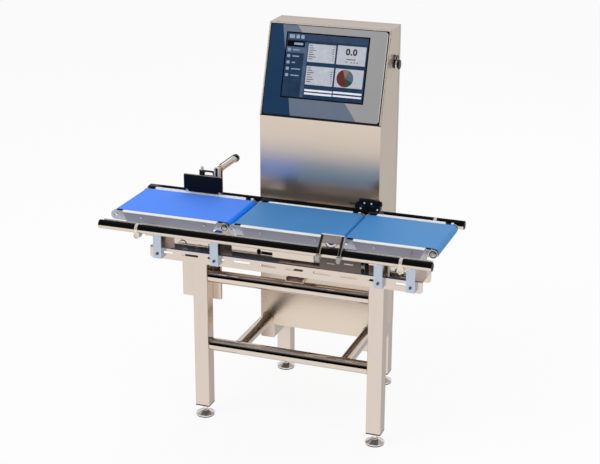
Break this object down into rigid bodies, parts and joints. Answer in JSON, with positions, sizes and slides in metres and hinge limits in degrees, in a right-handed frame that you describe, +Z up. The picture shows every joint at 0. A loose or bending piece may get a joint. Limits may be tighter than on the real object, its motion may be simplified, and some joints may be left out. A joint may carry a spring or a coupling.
{
  "type": "in-line checkweigher",
  "caption": "In-line checkweigher: infeed, weighing and reject belts on a slotted channel, guard rails, reject pusher, and a control column with a slanted touch panel.",
  "frame": {"origin": "on the floor under the middle of the machine's bounding box", "axes": "+Z up, +X along the belts towards the infeed end, +Y from the guard rail in front to the control column behind"},
  "size_m": [1.31, 0.82, 1.5406],
  "materials": {
    "stainless_brushed": "brushed, warm white reflections",
    "stainless_polished": "smooth rolled sheet, lightly polished",
    "support_plate_steel": "bead-blasted, cool grey",
    "side_profile": "anodised, silk",
    "bracket_aluminium": "machined and clear anodised",
    "black_plastic": "moulded, fine grain",
    "black_rubber": "moulded",
    "blue_belt": "smooth blue cover, matt to silk",
    "roller_steel": "ground",
    "motor_paint": "dark grey powder coat",
    "cell_aluminium": "milled and anodised",
    "reflector_plastic": "clear prism face, grey feet",
    "overlay_film": "printed polyester film",
    "screen_black": "hard-coated screen",
    "electronics": "light grey housings"
  },
  "bodies": {
    "stand": {"stand_tubes": "stainless_brushed", "stand_bars": "stainless_brushed", "leg_caps": "black_plastic", "foot_pads": "black_rubber", "channel_beam": "stainless_brushed", "cable_tray": "stainless_polished", "valve_plate": "stainless_brushed", "air_valve": "black_plastic", "support_plates": "support_plate_steel", "support_saddles": "stainless_polished", "base_trays": "stainless_polished", "side_plates": "side_profile", "end_brackets": "bracket_aluminium", "slider_beds": "stainless_polished", "conveyor_belts": "blue_belt", "roller_bearings": "roller_steel", "drive_motors": "motor_paint", "timing_belts": "black_rubber", "drive_covers": "black_plastic", "ledge_inserts": "black_plastic", "frame_screws": "roller_steel", "load_cell": "cell_aluminium", "weigh_housing": "stainless_brushed", "weigh_carrier": "stainless_polished", "cross_rods": "stainless_polished", "sensor_bracket": "stainless_polished", "photo_sensor": "black_plastic", "pusher_support": "stainless_polished", "pusher_cylinder": "stainless_brushed", "column_shell": "stainless_brushed", "column_seals": "black_rubber", "door_hinges": "stainless_polished", "panel_overlay": "overlay_film", "touch_screen": "screen_black", "control_plate": "electronics", "button_collar": "roller_steel"},
    "rear_door": {"rear_door": "stainless_brushed"},
    "door_lock": {"door_lock": "stainless_polished"},
    "push_button": {"button_head": "black_plastic"},
    "pusher": {"pusher_rod": "roller_steel", "pusher_yoke": "stainless_polished", "pusher_pad": "black_plastic"},
    "front_rail": {"front_rail_carrier": "stainless_brushed", "front_rail_strip": "black_plastic", "front_rail_clips": "stainless_brushed", "reflector_bracket": "stainless_polished", "reflector": "reflector_plastic"},
    "rear_rail": {"rear_rail_carrier": "stainless_brushed", "rear_rail_strip": "black_plastic", "rear_rail_clips": "stainless_brushed"},
    "reject_drive": {"reject_drive_roller": "roller_steel"},
    "reject_idler": {"reject_idler_roller": "roller_steel"},
    "weigh_drive": {"weigh_drive_roller": "roller_steel"},
    "weigh_idler": {"weigh_idler_roller": "roller_steel"},
    "infeed_drive": {"infeed_drive_roller": "roller_steel"},
    "infeed_idler": {"infeed_idler_roller": "roller_steel"},
    "foot_front_left": {"foot_front_left": "stainless_polished"},
    "foot_front_right": {"foot_front_right": "stainless_polished"},
    "foot_rear_left": {"foot_rear_left": "stainless_polished"},
    "foot_rear_right": {"foot_rear_right": "stainless_polished"}
  },
  "joints": [
    {"name": "rear_door_hinge", "type": "hinge", "parent": "stand", "child": "rear_door", "pos_m": [-0.2115, 0.3782, 0.916], "axis": [0, 0, 1], "range_deg": [0, 120]},
    {"name": "door_lock_turn", "type": "hinge", "parent": "rear_door", "child": "door_lock", "pos_m": [0.2655, 0.399, 0.916], "axis": [0, 1, 0], "range_deg": [0, 90]},
    {"name": "push_button_press", "type": "slide", "parent": "stand", "child": "push_button", "axis": [-1, 0, 0], "range_m": [0, 0.004], "stiffness_N_per_m": 800, "springref_m": -0.002},
    {"name": "pusher_stroke", "type": "slide", "parent": "stand", "child": "pusher", "axis": [0, -1, 0], "range_m": [0, 0.13]},
    {"name": "front_rail_adjust", "type": "slide", "parent": "stand", "child": "front_rail", "axis": [0, 1, 0], "range_m": [0, 0.035]},
    {"name": "rear_rail_adjust", "type": "slide", "parent": "stand", "child": "rear_rail", "axis": [0, -1, 0], "range_m": [0, 0.035]},
    {"name": "reject_drive_turn", "type": "hinge", "parent": "stand", "child": "reject_drive", "pos_m": [-0.6275, -0.14, 0.862], "axis": [0, 1, 0], "continuous": true},
    {"name": "reject_idler_turn", "type": "hinge", "parent": "stand", "child": "reject_idler", "pos_m": [-0.1765, -0.14, 0.862], "axis": [0, 1, 0], "continuous": true},
    {"name": "weigh_drive_turn", "type": "hinge", "parent": "stand", "child": "weigh_drive", "pos_m": [-0.1375, -0.14, 0.862], "axis": [0, 1, 0], "continuous": true},
    {"name": "weigh_idler_turn", "type": "hinge", "parent": "stand", "child": "weigh_idler", "pos_m": [0.2675, -0.14, 0.862], "axis": [0, 1, 0], "continuous": true},
    {"name": "infeed_drive_turn", "type": "hinge", "parent": "stand", "child": "infeed_drive", "pos_m": [0.3065, -0.14, 0.862], "axis": [0, 1, 0], "continuous": true},
    {"name": "infeed_idler_turn", "type": "hinge", "parent": "stand", "child": "infeed_idler", "pos_m": [0.6345, -0.14, 0.862], "axis": [0, 1, 0], "continuous": true},
    {"name": "foot_front_left_turn", "type": "hinge", "parent": "stand", "child": "foot_front_left", "pos_m": [-0.3225, -0.17, 0.05], "axis": [0, 0, 1], "continuous": true},
    {"name": "foot_front_right_turn", "type": "hinge", "parent": "stand", "child": "foot_front_right", "pos_m": [0.3975, -0.17, 0.05], "axis": [0, 0, 1], "continuous": true},
    {"name": "foot_rear_left_turn", "type": "hinge", "parent": "stand", "child": "foot_rear_left", "pos_m": [-0.1745, 0.369, 0.05], "axis": [0, 0, 1], "continuous": true},
    {"name": "foot_rear_right_turn", "type": "hinge", "parent": "stand", "child": "foot_rear_right", "pos_m": [0.2655, 0.369, 0.05], "axis": [0, 0, 1], "continuous": true}
  ],
  "couplings": [
    {"joint": "reject_idler_turn", "follows": "reject_drive_turn", "ratio": 1},
    {"joint": "weigh_idler_turn", "follows": "weigh_drive_turn", "ratio": 1},
    {"joint": "infeed_idler_turn", "follows": "infeed_drive_turn", "ratio": 1}
  ]
}
